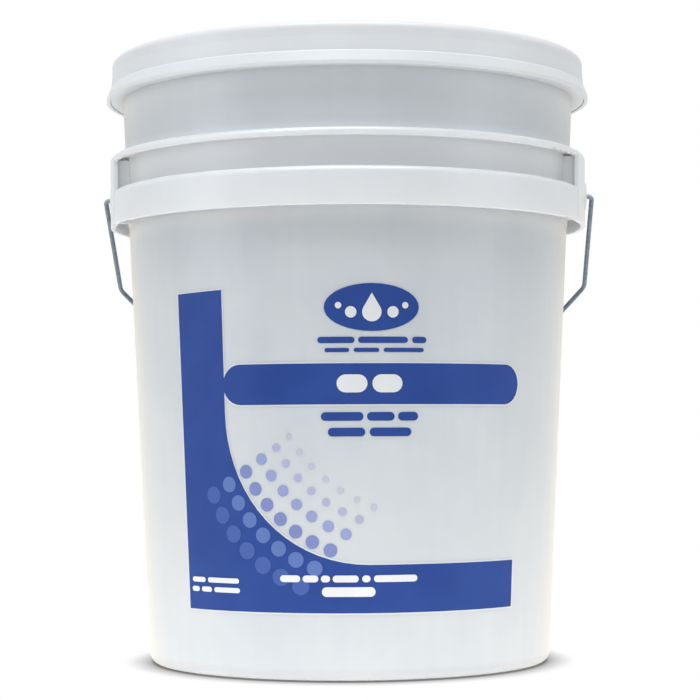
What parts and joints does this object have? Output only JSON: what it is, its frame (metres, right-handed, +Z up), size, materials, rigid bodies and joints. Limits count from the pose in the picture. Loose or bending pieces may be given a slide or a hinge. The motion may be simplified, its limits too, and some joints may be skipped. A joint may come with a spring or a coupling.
{
  "type": "laundry detergent pail",
  "caption": "Round tapered plastic pail with a press-on lid, a ribbed upper end with two moulded bail ears, a wire bail with a roller grip, and a screen print on the front.",
  "frame": {"origin": "on the pail's axis, in the plane that its foot ring stands on", "axes": "+Z up along the pail's axis, -Y towards the printed front, X through the two bail ears; the bail hangs at +Y"},
  "size_m": [0.3148, 0.3116, 0.3799],
  "materials": {
    "pail_plastic": "satin natural polyethylene",
    "lid_plastic": "satin white polyethylene",
    "gasket_rubber": "matt",
    "wire_steel": "galvanised",
    "grip_plastic": "satin",
    "ink_blue": "satin screen ink",
    "ink_dots": "satin screen ink",
    "ink_white": "satin screen ink"
  },
  "bodies": {
    "pail": {"pail_body": "pail_plastic", "print_blue": "ink_blue", "print_dots": "ink_dots", "print_white": "ink_white"},
    "lid": {"lid": "lid_plastic", "lid_gasket": "gasket_rubber"},
    "bail": {"bail_wire": "wire_steel"},
    "grip": {"bail_grip": "grip_plastic"}
  },
  "joints": [
    {"name": "bail_swing", "type": "hinge", "parent": "pail", "child": "bail", "pos_m": [0, 0, 0.2947], "axis": [1, 0, 0], "range_deg": [0, 258.61]},
    {"name": "lid_lift", "type": "slide", "parent": "pail", "child": "lid", "axis": [0, 0, 1], "range_m": [0, 0.12]},
    {"name": "grip_spin", "type": "hinge", "parent": "bail", "child": "grip", "pos_m": [0, 0.14701, 0.17433], "axis": [1, 0, 0], "continuous": true}
  ]
}
